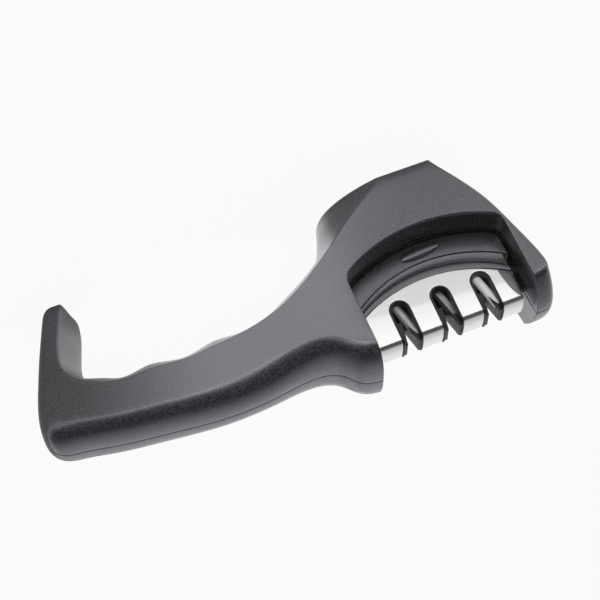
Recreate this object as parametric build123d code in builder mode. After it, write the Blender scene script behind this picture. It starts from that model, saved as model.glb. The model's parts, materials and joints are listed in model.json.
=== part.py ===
from build123d import *
import os
from math import sqrt

# Hand-held three-stage pull-through knife sharpener, standing as it is used.
# Frame: +Z up, +X from the head towards the hooked end of the handle, y = 0 is the plane where
# the two housing halves meet. The origin lies on the resting face, under the middle knife slot.
# All sizes are millimetres.

# Housing
wall = 2.4                  # moulded wall of both housing halves
grip_half = 13.0            # half thickness of the handle and the hook
head_half_base = 24.8       # half thickness of the head at its base
head_half_mouth = 19.0      # half thickness of the head at the pillar tips
head_half_end_x = 22.0      # the head starts to thin towards the handle here
grip_half_start_x = 92.0    # and has the handle's thickness from here on
mouth_z = 65.0              # height of the side face's edge on the outer pillar
pad_proud = 0.4             # the rubber pad stands this far out of the base

# Cartridge bay
bay_half_width = 34.75
bay_floor_z = 26.3          # lowest point of the arched bay floor
bay_arch_x = -2.0           # where that lowest point lies
bay_arch_radius = 69.0
bay_corner = 6.5

# Guides that carry the cartridge
slide_gap = 0.3             # running clearance of the cartridge on its guides
guide_rib_height = 1.9
guide_rib_width = 2.4
guide_rib_low_z = 36.0
guide_rib_top_z = 60.0
seat_rib_x = 20.0           # the cartridge stands on two ribs at this distance each way
seat_rib_width = 8.0
seat_rib_depth = 6.0

# Cartridge body
panel_half = 9.5            # half thickness of the panel with the oval nub
panel_gap = 1.1             # gap between the panel and the bay
panel_top_z = 36.5          # lowest point of the panel's upper step
panel_top_x = -1.0
panel_top_radius = 58.0
band_half = 8.8
band_top_z = 39.8
band_top_x = 1.7
band_top_radius = 57.0
strip_half = 8.3
module_end_x = -31.35       # above the panel the cartridge is shorter at the outer pillar
nub_length = 19.0
nub_width = 4.8
nub_height = 1.2
nub_x = -0.6
nub_z = 31.9

# Steel cover over the cartridge
cover_sheet = 0.8
cover_fit = 0.05            # clearance under the sheet
cover_edge_z = 43.7         # lowest point of the cover's arched edge
cover_edge_x = 2.6
cover_edge_radius = 62.0
cover_edge_half = 8.8       # half width of the cover at that edge
cover_bend_z = 54.5         # soft bend between the two flanks
cover_bend_half = 7.7
cover_top_z = 66.6
cover_top_half = 5.7
cover_top_round = 1.3
cover_left_x = 33.3
cover_end_cut = 4.9         # the outer end of the sheet is cut back by this much at its lower corner

# Knife slots
slot_count = 3
slot_pitch = 17.9
slot_width = 8.8
slot_floor_z = 48.6         # closed end of the slot

# Slot liners
liner_fit = 0.05            # clearance of a liner in its slot
liner_wall = 0.85
liner_proud = 0.45          # the liner's rim stands this far out of the steel
guide_depth = 4.1           # the V guides reach this far from the middle plane
vee_cross_z = 54.5          # the two guide faces cross at this height
vee_mouth_half = 2.4        # half width of the V at the mouth
vee_full_z = 56.0           # above this height both guides run through the whole depth

# Abrasives
rod_radius = 2.0
rod_length = 15.0
rod_lean = 15.0             # degrees, sideways
rod_tip = 5.7               # degrees, into the slot towards the mouth
rod_y = 2.85                # middle of the rod from the middle plane
rod_mid_z = 56.2
rod_mid_offset = 1.75       # middle of the rod past the slot's middle
rod_fit = 0.06
rod_end_round = 0.4
blade_thickness = 3.6
blade_width = 3.4
blade_bevel = 1.1

# Screws
screw_radius = 1.4
screw_head_radius = 2.7
screw_head_height = 1.9
screw_length = 17.0
screw_seat_y = 9.0          # the heads bear this far behind the middle plane
screw_hole_gap = 0.25
pilot_fit = 0.02
boss_radius = 4.3
shell_screw_places = [(-15.0, 13.0), (19.0, 19.0), (45.5, 44.0), (98.0, 48.0), (147.5, 41.0)]
core_screw_length = 12.0
core_screw_seat_y = 5.6
core_screw_places = [(-26.0, 37.0), (26.0, 37.4)]

# Resting pad
pad_thickness = 1.6
pad_fit = 0.15
pad_half_width = 19.5
pad_x_min = -14.5
pad_x_max = 27.0

# Outline of the housing at the middle plane and, point for point, of its flat side face.
# Each run goes from one corner to the next, from the outer foot over the mouth to the handle
# and back along the underside.
outer_mid = [(-19.6, pad_proud), (-27.3, 12.0), (-34.2, 25.0), (-39.0, 40.0), (-42.6, 54.0),
             (-43.7, 62.0), (-43.4, 69.0)]
outer_side = [(-18.1, pad_proud), (-25.7, 12.2), (-32.5, 25.1), (-37.4, 40.0), (-41.4, 54.0),
              (-42.5, 59.5), (-42.4, mouth_z - 2.0)]
mouth_mid = [(-43.4, 69.0), (-42.2, 71.2), (-39.5, 71.8), (-30.0, 71.8), (10.0, 74.0), (30.0, 75.6)]
mouth_side = [(-42.4, mouth_z - 2.0), (-41.6, mouth_z - 0.5), (-39.5, mouth_z), (-30.0, mouth_z),
              (10.0, 63.0), (30.0, 62.6)]
top_mid = [(30.0, 75.6), (39.0, 75.2), (44.0, 72.8), (47.8, 68.6), (53.0, 65.5), (60.0, 64.6),
           (75.0, 66.2), (97.0, 67.2), (122.0, 64.5), (143.0, 61.4), (154.0, 59.0)]
top_side = [(30.0, 62.6), (38.0, 60.5), (43.5, 56.5), (48.5, 53.0), (55.0, 50.8), (62.0, 50.2),
            (77.0, 51.3), (98.0, 53.4), (122.0, 51.8), (141.0, 49.0), (150.0, 46.6)]
end_mid = [(154.0, 59.0), (160.5, 57.0), (165.2, 53.3), (167.2, 47.0), (166.6, 40.0),
           (164.4, 30.0), (161.2, 19.0), (157.6, 10.0), (153.2, 0.0)]
end_side = [(150.0, 46.6), (153.6, 45.4), (156.2, 43.0), (157.6, 39.5), (158.0, 35.0),
            (157.4, 27.0), (155.8, 18.0), (153.2, 9.0), (149.4, 0.0)]
toe_mid = [(153.2, 0.0), (140.0, 0.0)]
toe_side = [(149.4, 0.0), (142.9, 0.0)]
hook_mid = [(140.0, 0.0), (138.4, 3.0), (138.4, 9.0), (139.4, 16.0), (141.6, 23.0), (142.3, 27.0),
            (140.6, 30.4), (135.5, 34.0)]
hook_side = [(142.9, 0.0), (145.0, 5.0), (147.0, 10.5), (149.4, 17.5), (150.8, 24.0),
             (150.7, 29.0), (148.3, 33.4), (143.6, 37.4)]
grip_mid = [(135.5, 34.0), (128.5, 36.5), (117.8, 34.5), (105.0, 37.4), (90.8, 34.3), (78.0, 36.2),
            (64.0, 31.6), (50.0, 24.5), (40.0, 17.4)]
grip_side = [(143.6, 37.4), (132.0, 41.7), (119.0, 41.9), (106.0, 42.8), (92.0, 41.9),
             (79.0, 40.6), (62.0, 37.0), (46.0, 29.4), (30.3, 19.2)]
nose_mid = [(40.0, 17.4), (37.2, 12.8), (34.8, 7.5), (33.0, 3.0), (32.2, pad_proud)]
nose_side = [(30.3, 19.2), (23.5, 14.6), (16.0, 9.8), (8.0, 4.6), (3.0, pad_proud)]
base_mid = [(32.2, pad_proud), (-19.6, pad_proud)]
base_side = [(3.0, pad_proud), (-18.1, pad_proud)]

# Runs with a soft shoulder meet the side face without an edge, the others meet it in a crisp one.
outline_runs = [
    (outer_mid, outer_side, "crisp"), (mouth_mid, mouth_side, "crisp"),
    (top_mid, top_side, "soft"), (end_mid, end_side, "soft"), (toe_mid, toe_side, "soft"),
    (hook_mid, hook_side, "crisp"), (grip_mid, grip_side, "crisp"), (nose_mid, nose_side, "nose"),
    (base_mid, base_side, "nose"),
]
layer_depths = [0.0, 4.0, 7.0, 9.5, 11.5, 13.0, 16.0, 19.0, 21.5, 23.4, head_half_base]

slot_places = [slot_pitch * (i - (slot_count - 1) / 2) for i in range(slot_count)]


def half_thickness(x, z):
    """Half thickness of the housing between its two side faces."""
    head = head_half_base + (head_half_mouth - head_half_base) * z / mouth_z
    t = (x - head_half_end_x) / (grip_half_start_x - head_half_end_x)
    t = min(max(t, 0.0), 1.0)
    return head + (grip_half - head) * t * t * (3.0 - 2.0 * t)


def inset_share(depth, kind):
    """How far the surface has moved from the middle outline to the side one, from 0 to 1."""
    soft = 1.0 - sqrt(max(0.0, 1.0 - depth * depth))
    if kind == "soft":
        return soft
    if kind == "crisp":
        return depth * depth
    return 0.5 * soft + 0.5 * depth ** 3


def inward(points, i):
    """Unit normal of an outline run at point i, pointing into the housing."""
    (x0, z0), (x1, z1) = points[max(i - 1, 0)], points[min(i + 1, len(points) - 1)]
    length = sqrt((x1 - x0) ** 2 + (z1 - z0) ** 2)
    return (z1 - z0) / length, -(x1 - x0) / length


def housing_layer(depth, inset=0.0):
    """Face of the housing at one distance from the middle plane, shrunk by inset all round."""
    runs = []
    for mid, side, kind in outline_runs:
        points = []
        for i, ((mx, mz), (sx, sz)) in enumerate(zip(mid, side)):
            nx, nz = inward(mid, i)
            reach = half_thickness(sx, sz) - inset
            share = inset_share(min(depth / reach, 1.0), kind)
            points.append((mx + (sx - mx) * share + nx * inset, mz + (sz - mz) * share + nz * inset))
        runs.append(points)
    for run, following in zip(runs, runs[1:] + runs[:1]):
        corner = ((run[-1][0] + following[0][0]) / 2, (run[-1][1] + following[0][1]) / 2)
        run[-1] = following[0] = corner
    with BuildSketch(Plane.XZ.offset(depth)) as layer:
        with BuildLine():
            for run in runs:
                if len(run) == 2:
                    Line(*run)
                else:
                    Spline(*run)
        make_face()
    return layer.sketch.face()


def thickness_plan(z, inset=0.0):
    """Plan of the front half of the housing's thickness at height z."""
    x_min, x_max = -60.0, 190.0
    steps = 8
    span = grip_half_start_x - head_half_end_x
    shoulder = [head_half_end_x + span * i / steps for i in range(steps + 1)]
    with BuildSketch(Plane.XY.offset(z)) as plan:
        with BuildLine():
            first = (shoulder[0], -half_thickness(shoulder[0], z) + inset)
            last = (shoulder[-1], -half_thickness(shoulder[-1], z) + inset)
            Polyline((first[0], first[1]), (x_min, first[1]), (x_min, 1.0), (x_max, 1.0),
                     (x_max, last[1]), last)
            Spline(*[(x, -half_thickness(x, z) + inset) for x in shoulder],
                   tangents=[(1, 0), (1, 0)])
        make_face()
    return plan.sketch.face()


def arch_z(x, low_x, low_z, radius):
    """Height of an arch that bows downwards, at x."""
    return low_z + radius - sqrt(radius * radius - (x - low_x) ** 2)


def bay_outline(grow=0.0, top=120.0):
    """Outline of the cartridge bay in the middle plane, enlarged by grow."""
    left, right = bay_half_width + grow, -bay_half_width - grow
    radius, low = bay_arch_radius + grow, bay_floor_z - grow
    with BuildSketch(Plane.XZ) as outline:
        with BuildLine():
            ThreePointArc((right, arch_z(right, bay_arch_x, low, radius)), (bay_arch_x, low),
                          (left, arch_z(left, bay_arch_x, low, radius)))
            Polyline((left, arch_z(left, bay_arch_x, low, radius)), (left, top), (right, top),
                     (right, arch_z(right, bay_arch_x, low, radius)))
        make_face()
        fillet(outline.vertices().sort_by(Axis.Y)[:2], radius=bay_corner + grow)
    return outline.sketch.face()


def pad_outline(grow=0.0):
    """Outline of the base pad, pointed towards the handle, enlarged by grow."""
    half, low, high = pad_half_width + grow, pad_x_min - grow, pad_x_max + grow
    nose = [(high - 22.0, half), (high - 13.0, half - 2.2), (high - 6.0, half - 6.8),
            (high - 1.6, half - 12.5), (high, 0.0)]
    tip = [(x, -y) for x, y in reversed(nose)]
    with BuildSketch(Plane.XY) as outline:
        with BuildLine():
            Spline(*nose, *tip[1:])
            Polyline(tip[-1], (low, -half), (low, half), nose[0])
        make_face()
        fillet(outline.vertices().sort_by(Axis.X)[:2], radius=4.0)
    return outline.sketch.face()


def seat_rib_face(side):
    """Rib under the cartridge, its top parallel to the bay floor."""
    rise = panel_gap - slide_gap
    low_x, mid_x, high_x = [side * seat_rib_x + d for d in
                            (-seat_rib_width / 2, 0.0, seat_rib_width / 2)]
    low_z, mid_z, high_z = [arch_z(x, bay_arch_x, bay_floor_z, bay_arch_radius) + rise
                            for x in (low_x, mid_x, high_x)]
    with BuildSketch(Plane.XZ) as rib:
        with BuildLine():
            ThreePointArc((low_x, low_z), (mid_x, mid_z), (high_x, high_z))
            Polyline((high_x, high_z), (high_x, bay_floor_z - wall / 2),
                     (low_x, bay_floor_z - wall / 2), (low_x, low_z))
        make_face()
    return rib.sketch.face()


def below_arch(low_x, low_z, radius):
    """Everything in the middle plane below an arch."""
    reach = 46.0
    with BuildSketch(Plane.XZ) as region:
        with BuildLine():
            ThreePointArc((-reach, arch_z(-reach, low_x, low_z, radius)), (low_x, low_z),
                          (reach, arch_z(reach, low_x, low_z, radius)))
            Polyline((reach, arch_z(reach, low_x, low_z, radius)), (reach, 0.0), (-reach, 0.0),
                     (-reach, arch_z(-reach, low_x, low_z, radius)))
        make_face()
    return region.sketch.face()


def module_face(low_x, low_z, radius, end_x):
    """Part of the cartridge's front that lies below an arch and inwards of end_x."""
    with BuildSketch(Plane.XZ) as face:
        add(bay_outline(grow=-panel_gap))
        add(below_arch(low_x, low_z, radius), mode=Mode.INTERSECT)
        with Locations(((end_x + bay_half_width) / 2, cover_top_z / 2)):
            Rectangle(bay_half_width - end_x, cover_top_z, mode=Mode.INTERSECT)
    return face.sketch.face()


def cover_profile(x, inset=0.0):
    """Section of the steel cover at x, shrunk by inset."""
    half = [(cover_edge_half, cover_edge_z), (cover_bend_half, cover_bend_z),
            (cover_top_half, cover_top_z)]
    foot = (cover_edge_half, band_top_z - 1.0)
    points = [foot] + half + [(-y, z) for y, z in reversed(half)] + [(-foot[0], foot[1])]
    with BuildSketch(Plane.YZ.offset(x)) as section:
        with BuildLine():
            Polyline(*points, close=True)
        make_face()
        fillet(section.vertices().group_by(Axis.Y)[-1], radius=cover_top_round)
        if inset:
            offset(amount=-inset, kind=Kind.INTERSECTION)
    return section.sketch.face()


def cover_corner(gap=0.0):
    """Corner by the outer pillar that the sheet leaves free, short of the sheet by gap."""
    end = module_end_x
    edge = [(end + cover_end_cut, cover_edge_z), (end + cover_end_cut * 0.8, cover_bend_z + 2.0),
            (end + cover_end_cut * 0.5, cover_top_z - 4.8), (end, cover_top_z - 1.2)]
    with BuildSketch(Plane.XZ) as corner:
        with BuildLine():
            Spline(*[(x - gap, z) for x, z in edge])
            Polyline((end - gap, cover_top_z - 1.2), (end - 5.0, cover_top_z - 1.2),
                     (end - 5.0, cover_edge_z), (end + cover_end_cut - gap, cover_edge_z))
        make_face()
    return corner.sketch.face()


def slot_face(slot_x, half, floor_z=slot_floor_z):
    """A knife slot in the middle plane: round closed end, open upwards."""
    top = cover_top_z + 5.0
    with BuildSketch(Plane.XZ) as face:
        with BuildLine():
            ThreePointArc((slot_x - half, floor_z + half), (slot_x, floor_z),
                          (slot_x + half, floor_z + half))
            Polyline((slot_x + half, floor_z + half), (slot_x + half, top),
                     (slot_x - half, top), (slot_x - half, floor_z + half))
        make_face()
    return face.sketch.face()


def guide_face(slot_x, side, low_z):
    """One guide of the V in a slot, above low_z, on the given side of the slot."""
    half = slot_width / 2 - liner_fit - liner_wall / 2
    slope = vee_mouth_half / (cover_top_z - vee_cross_z)
    top = cover_top_z + 5.0
    low_x = slot_x - side * slope * (vee_cross_z - low_z)
    high_x = slot_x + side * slope * (top - vee_cross_z)
    far_x = slot_x + side * slot_width
    with BuildSketch(Plane.XZ) as face:
        add(slot_face(slot_x, half, slot_floor_z + liner_wall / 2))
        with BuildLine():
            Polyline((low_x, low_z), (high_x, top), (far_x, top), (far_x, low_z), close=True)
        make_face(mode=Mode.INTERSECT)
    return face.sketch.face()


def abrasive_place(slot_x, turn):
    """Seat of an abrasive: turn is 0 in front of the middle plane and 180 behind it."""
    lean = Location((-rod_mid_offset, -rod_y, rod_mid_z), (-rod_tip, -rod_lean, 0))
    return Location((slot_x, 0, 0), (0, 0, turn)) * lean


def rod(slot_x, turn, grow=0.0):
    """Round abrasive rod in its seat."""
    with BuildPart(abrasive_place(slot_x, turn)) as piece:
        Cylinder(rod_radius + grow, rod_length + 2 * grow)
        fillet(piece.edges().filter_by(GeomType.CIRCLE), radius=rod_end_round)
    return piece


def blade(slot_x, turn, grow=0.0):
    """Flat carbide blade with a bevelled working edge in its seat."""
    with BuildPart(abrasive_place(slot_x, turn)) as piece:
        Box(blade_thickness + 2 * grow, blade_width + 2 * grow, rod_length + 2 * grow)
        long_edges = piece.edges().sort_by(SortBy.LENGTH)[-4:]
        working_side = 1 if turn == 0 else -1
        chamfer(long_edges.sort_by(Axis.X)[::working_side][-2:], length=blade_bevel)
    return piece


def slot_liner(slot_x):
    """Liner of one slot with its two crossing V guides."""
    with BuildPart() as liner:
        extrude(slot_face(slot_x, slot_width / 2 - liner_fit, slot_floor_z + liner_fit),
                amount=panel_half * 2, both=True)
        extrude(slot_face(slot_x, slot_width / 2 - liner_fit - liner_wall,
                          slot_floor_z + liner_fit + liner_wall),
                amount=panel_half * 2, both=True, mode=Mode.SUBTRACT)
        extrude(guide_face(slot_x, -1, slot_floor_z), amount=guide_depth)
        extrude(guide_face(slot_x, 1, slot_floor_z), amount=-guide_depth)
        extrude(guide_face(slot_x, -1, vee_full_z), amount=-guide_depth)
        extrude(guide_face(slot_x, 1, vee_full_z), amount=guide_depth)
        extrude(cover_profile(slot_x - slot_width, -liner_proud), amount=slot_width * 2,
                mode=Mode.INTERSECT)
        add(abrasive_seats.part, mode=Mode.SUBTRACT)
    return liner


# One half of the housing as a solid block, and the hollow inside it
with BuildPart() as side_limit:
    loft(sections=[thickness_plan(-5.0), thickness_plan(95.0)], ruled=True)

with BuildPart() as hollow_limit:
    loft(sections=[thickness_plan(-5.0, wall), thickness_plan(95.0, wall)], ruled=True)

with BuildPart() as half_hollow:
    loft(sections=[housing_layer(d, wall) for d in layer_depths[:-1]], ruled=True)
    add(hollow_limit.part, mode=Mode.INTERSECT)
    extrude(bay_outline(grow=wall), amount=head_half_base, mode=Mode.SUBTRACT)
    with BuildSketch(Plane.XZ):
        with Locations(*shell_screw_places):
            Circle(boss_radius)
    extrude(amount=head_half_base, mode=Mode.SUBTRACT)

# Base pad, let into a pocket that both halves share
with BuildPart() as base_pad:
    add(pad_outline())
    extrude(amount=pad_thickness)

with BuildPart() as pad_pocket:
    add(pad_outline(grow=pad_fit))
    extrude(amount=pad_thickness)

# Housing half with the bay, the guide rib on each bay wall and the two ribs the cartridge stands on
with BuildPart() as plain_half:
    loft(sections=[housing_layer(d) for d in layer_depths], ruled=True)
    add(side_limit.part, mode=Mode.INTERSECT)
    extrude(bay_outline(), amount=head_half_base + 1.0, mode=Mode.SUBTRACT)
    add(half_hollow.part, mode=Mode.SUBTRACT)
    with BuildSketch(Plane.XZ):
        for side in (-1, 1):
            rib_x = side * (bay_half_width - guide_rib_height / 2 + 0.5)
            with Locations((rib_x, (guide_rib_low_z + guide_rib_top_z) / 2)):
                Rectangle(guide_rib_height + 1.0, guide_rib_top_z - guide_rib_low_z)
    extrude(amount=guide_rib_width / 2)
    for side in (-1, 1):
        extrude(seat_rib_face(side), amount=seat_rib_depth)
    add(pad_pocket.part, mode=Mode.SUBTRACT)

with BuildPart() as front_shell:
    add(plain_half.part)
    with BuildSketch(Plane.XZ):
        with Locations(*shell_screw_places):
            Circle(screw_radius + pilot_fit)
    extrude(amount=screw_length - screw_seat_y + 0.5, mode=Mode.SUBTRACT)

with BuildPart() as rear_shell:
    add(plain_half.part.mirror(Plane.XZ))
    with BuildSketch(Plane.XZ):
        with Locations(*shell_screw_places):
            Circle(screw_radius + screw_hole_gap)
    extrude(amount=-screw_seat_y, mode=Mode.SUBTRACT)
    with BuildSketch(Plane.XZ.offset(-screw_seat_y)):
        with Locations(*shell_screw_places):
            Circle(screw_head_radius + screw_hole_gap)
    extrude(amount=-head_half_base, mode=Mode.SUBTRACT)

with BuildPart() as shell_screws:
    with BuildSketch(Plane.XZ.offset(-screw_seat_y)):
        with Locations(*shell_screw_places):
            Circle(screw_radius)
    extrude(amount=screw_length)
    with BuildSketch(Plane.XZ.offset(-screw_seat_y)):
        with Locations(*shell_screw_places):
            Circle(screw_head_radius)
    extrude(amount=-screw_head_height)

# Abrasives: round rods in the outer and inner slot, carbide blades in the middle one
coarse_rod_front = rod(slot_places[2], 0)
coarse_rod_rear = rod(slot_places[2], 180)
ceramic_rod_front = rod(slot_places[0], 0)
ceramic_rod_rear = rod(slot_places[0], 180)
carbide_blade_front = blade(slot_places[1], 0)
carbide_blade_rear = blade(slot_places[1], 180)

with BuildPart() as abrasive_seats:
    for slot_x in (slot_places[0], slot_places[2]):
        for turn in (0, 180):
            add(rod(slot_x, turn, rod_fit).part)
    for turn in (0, 180):
        add(blade(slot_places[1], turn, rod_fit).part)

# Steel cover: one bent sheet, open below
with BuildPart() as steel_cover:
    extrude(cover_profile(module_end_x), amount=cover_left_x - module_end_x)
    extrude(cover_profile(module_end_x - 1.0, cover_sheet),
            amount=cover_left_x - module_end_x + 2.0, mode=Mode.SUBTRACT)
    extrude(below_arch(cover_edge_x, cover_edge_z, cover_edge_radius), amount=panel_half * 2,
            both=True, mode=Mode.SUBTRACT)
    extrude(cover_corner(), amount=panel_half * 2, both=True, mode=Mode.SUBTRACT)
    for slot_x in slot_places:
        extrude(slot_face(slot_x, slot_width / 2), amount=panel_half * 2, both=True,
                mode=Mode.SUBTRACT)

# Oval nub on the panel
with BuildPart() as nub:
    Sphere(1.0, rotation=(90, 0, 0))
    scale(by=(nub_length / 2, nub_height, nub_width / 2))

# Cartridge body, first in one piece
with BuildPart() as cartridge_body:
    extrude(module_face(panel_top_x, panel_top_z, panel_top_radius, -bay_half_width),
            amount=panel_half, both=True)
    extrude(module_face(band_top_x, band_top_z, band_top_radius, module_end_x),
            amount=band_half, both=True)
    extrude(module_face(cover_edge_x, cover_edge_z - cover_fit, cover_edge_radius, module_end_x),
            amount=strip_half, both=True)
    extrude(cover_profile(module_end_x, cover_sheet + cover_fit),
            amount=cover_left_x - module_end_x)

with BuildPart() as corner_block:
    extrude(cover_profile(module_end_x), amount=bay_half_width)
    extrude(cover_corner(cover_fit).moved(Location((0, panel_half, 0))), amount=panel_half * 2,
            mode=Mode.INTERSECT)

with BuildPart() as cartridge_whole:
    add(cartridge_body.part)
    add(corner_block.part)
    for slot_x in slot_places:
        extrude(slot_face(slot_x, slot_width / 2), amount=panel_half * 2, both=True,
                mode=Mode.SUBTRACT)
    for side in (-1, 1):
        groove_x = side * (bay_half_width - guide_rib_height - slide_gap + bay_half_width) / 2
        with Locations((groove_x, 0, cover_top_z / 2)):
            Box(guide_rib_height + slide_gap, guide_rib_width + 2 * slide_gap, cover_top_z,
                mode=Mode.SUBTRACT)
    add(abrasive_seats.part, mode=Mode.SUBTRACT)
    for y in (-panel_half, panel_half):
        with Locations((nub_x, y, nub_z)):
            add(nub.part)

with BuildPart() as cartridge_front:
    add(cartridge_whole.part)
    split(bisect_by=Plane.XZ, keep=Keep.TOP)
    with BuildSketch(Plane.XZ):
        with Locations(*core_screw_places):
            Circle(screw_radius + pilot_fit)
    extrude(amount=core_screw_length - core_screw_seat_y + 0.5, mode=Mode.SUBTRACT)

with BuildPart() as cartridge_rear:
    add(cartridge_whole.part)
    split(bisect_by=Plane.XZ, keep=Keep.BOTTOM)
    with BuildSketch(Plane.XZ):
        with Locations(*core_screw_places):
            Circle(screw_radius + screw_hole_gap)
    extrude(amount=-core_screw_seat_y, mode=Mode.SUBTRACT)
    with BuildSketch(Plane.XZ.offset(-core_screw_seat_y)):
        with Locations(*core_screw_places):
            Circle(screw_head_radius + screw_hole_gap)
    extrude(amount=-panel_half, mode=Mode.SUBTRACT)

with BuildPart() as cartridge_screws:
    with BuildSketch(Plane.XZ.offset(-core_screw_seat_y)):
        with Locations(*core_screw_places):
            Circle(screw_radius)
    extrude(amount=core_screw_length)
    with BuildSketch(Plane.XZ.offset(-core_screw_seat_y)):
        with Locations(*core_screw_places):
            Circle(screw_head_radius)
    extrude(amount=-screw_head_height)

liner_ceramic = slot_liner(slot_places[0])
liner_carbide = slot_liner(slot_places[1])
liner_coarse = slot_liner(slot_places[2])

os.makedirs("parts", exist_ok=True)

front_shell.part.label = "front_shell"
export_step(front_shell.part, "parts/front_shell.step")
rear_shell.part.label = "rear_shell"
export_step(rear_shell.part, "parts/rear_shell.step")
shell_screws.part.label = "shell_screws"
export_step(shell_screws.part, "parts/shell_screws.step")
base_pad.part.label = "base_pad"
export_step(base_pad.part, "parts/base_pad.step")
cartridge_front.part.label = "cartridge_front"
export_step(cartridge_front.part, "parts/cartridge_front.step")
cartridge_rear.part.label = "cartridge_rear"
export_step(cartridge_rear.part, "parts/cartridge_rear.step")
cartridge_screws.part.label = "cartridge_screws"
export_step(cartridge_screws.part, "parts/cartridge_screws.step")
steel_cover.part.label = "steel_cover"
export_step(steel_cover.part, "parts/steel_cover.step")
liner_coarse.part.label = "liner_coarse"
export_step(liner_coarse.part, "parts/liner_coarse.step")
liner_carbide.part.label = "liner_carbide"
export_step(liner_carbide.part, "parts/liner_carbide.step")
liner_ceramic.part.label = "liner_ceramic"
export_step(liner_ceramic.part, "parts/liner_ceramic.step")
coarse_rod_front.part.label = "coarse_rod_front"
export_step(coarse_rod_front.part, "parts/coarse_rod_front.step")
coarse_rod_rear.part.label = "coarse_rod_rear"
export_step(coarse_rod_rear.part, "parts/coarse_rod_rear.step")
carbide_blade_front.part.label = "carbide_blade_front"
export_step(carbide_blade_front.part, "parts/carbide_blade_front.step")
carbide_blade_rear.part.label = "carbide_blade_rear"
export_step(carbide_blade_rear.part, "parts/carbide_blade_rear.step")
ceramic_rod_front.part.label = "ceramic_rod_front"
export_step(ceramic_rod_front.part, "parts/ceramic_rod_front.step")
ceramic_rod_rear.part.label = "ceramic_rod_rear"
export_step(ceramic_rod_rear.part, "parts/ceramic_rod_rear.step")
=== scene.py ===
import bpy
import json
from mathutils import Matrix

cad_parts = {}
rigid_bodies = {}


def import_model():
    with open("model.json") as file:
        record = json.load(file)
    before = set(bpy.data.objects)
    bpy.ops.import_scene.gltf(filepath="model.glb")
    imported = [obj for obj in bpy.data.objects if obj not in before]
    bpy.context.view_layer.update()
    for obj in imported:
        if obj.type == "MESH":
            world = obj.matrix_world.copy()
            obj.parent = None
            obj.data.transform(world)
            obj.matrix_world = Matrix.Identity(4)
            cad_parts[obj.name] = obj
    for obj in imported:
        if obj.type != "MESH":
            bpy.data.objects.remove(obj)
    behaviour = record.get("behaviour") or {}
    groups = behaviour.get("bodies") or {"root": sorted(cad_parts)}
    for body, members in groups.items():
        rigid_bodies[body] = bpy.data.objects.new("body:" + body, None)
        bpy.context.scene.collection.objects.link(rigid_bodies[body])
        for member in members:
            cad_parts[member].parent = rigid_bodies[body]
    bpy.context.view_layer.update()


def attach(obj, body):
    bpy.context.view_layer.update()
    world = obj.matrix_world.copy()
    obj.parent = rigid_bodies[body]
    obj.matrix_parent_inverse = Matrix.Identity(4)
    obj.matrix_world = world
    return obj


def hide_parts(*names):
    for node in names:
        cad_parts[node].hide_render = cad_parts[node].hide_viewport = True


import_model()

import json
import math
import bpy
import numpy as np
from mathutils import Matrix, Vector
from mathutils.geometry import delaunay_2d_cdt

# ---------------------------------------------------------------------------------------------
# Housing halves: two injection-moulded shells of dark satin plastic, screwed together from the
# rear. Each skin runs from the seam in the middle plane over a bulged flank to a flat side.
# Sizes are in millimetres up to the point where a mesh is made.


def spline(points, samples):
    """Natural cubic spline through points of any dimension, by chord length."""
    p = np.array(points, float)
    k = np.concatenate([[0], np.cumsum(np.linalg.norm(np.diff(p, axis=0), axis=1))])
    h, n = np.diff(k), len(p)
    a, b = np.zeros((n, n)), np.zeros_like(p)
    a[0, 0] = a[-1, -1] = 1
    for i in range(1, n - 1):
        a[i, i - 1:i + 2] = h[i - 1], 2 * (h[i - 1] + h[i]), h[i]
        b[i] = 3 * ((p[i + 1] - p[i]) / h[i] - (p[i] - p[i - 1]) / h[i - 1])
    c = np.linalg.solve(a, b)
    t = np.linspace(0, k[-1], samples)
    i = np.clip(np.searchsorted(k, t, side="right") - 1, 0, n - 2)
    d, hi = (t - k[i])[:, None], h[i][:, None]
    slope = (p[i + 1] - p[i]) / hi - hi * (2 * c[i] + c[i + 1]) / 3
    return p[i] + slope * d + c[i] * d ** 2 + (c[i + 1] - c[i]) / (3 * hi) * d ** 3


def trim(path, cut_start, cut_end, samples):
    """Path with its ends cut back by a length and then sampled again."""
    s = np.concatenate([[0], np.cumsum(np.linalg.norm(np.diff(path, axis=0), axis=1))])
    u = np.linspace(0, 1, len(path))
    ua, ub = np.interp([cut_start, s[-1] - cut_end], s, u)
    v = np.linspace(ua, ub, samples)
    return np.stack([np.interp(v, u, c) for c in path.T], axis=1)


corner_points = 7


def ring(paths, samples, cuts):
    """Closed loop through paths that meet end to end, each meeting point rounded by its cut."""
    out = []
    for i, path in enumerate(paths):
        following = paths[(i + 1) % len(paths)]
        ahead = trim(following, cuts[i], 0, 2)
        body = trim(path, cuts[i - 1], cuts[i], samples[i])
        corner = (path[-1] + following[0]) / 2
        w = np.linspace(0, 1, corner_points + 2)[1:-1, None]
        out += [body, (1 - w) ** 2 * body[-1] + 2 * w * (1 - w) * corner + w ** 2 * ahead[0]]
    return np.concatenate(out)


def inwards(loop):
    """Unit normals of a closed clockwise loop, pointing inwards."""
    d = np.roll(loop, -1, axis=0) - np.roll(loop, 1, axis=0)
    n = np.stack([d[:, 1], -d[:, 0]], axis=1)
    return n / np.maximum(np.linalg.norm(n, axis=1), 1e-9)[:, None]


def inside(loops, points):
    """Which points lie inside the first loop and outside the others."""
    odd = np.zeros(len(points), bool)
    for q in loops:
        for (ax, az), (bx, bz) in zip(q, np.roll(q, -1, axis=0)):
            if az != bz:
                hit = (points[:, 1] >= min(az, bz)) & (points[:, 1] < max(az, bz))
                odd ^= hit & (points[:, 0] < ax + (points[:, 1] - az) * (bx - ax) / (bz - az))
    return odd


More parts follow.
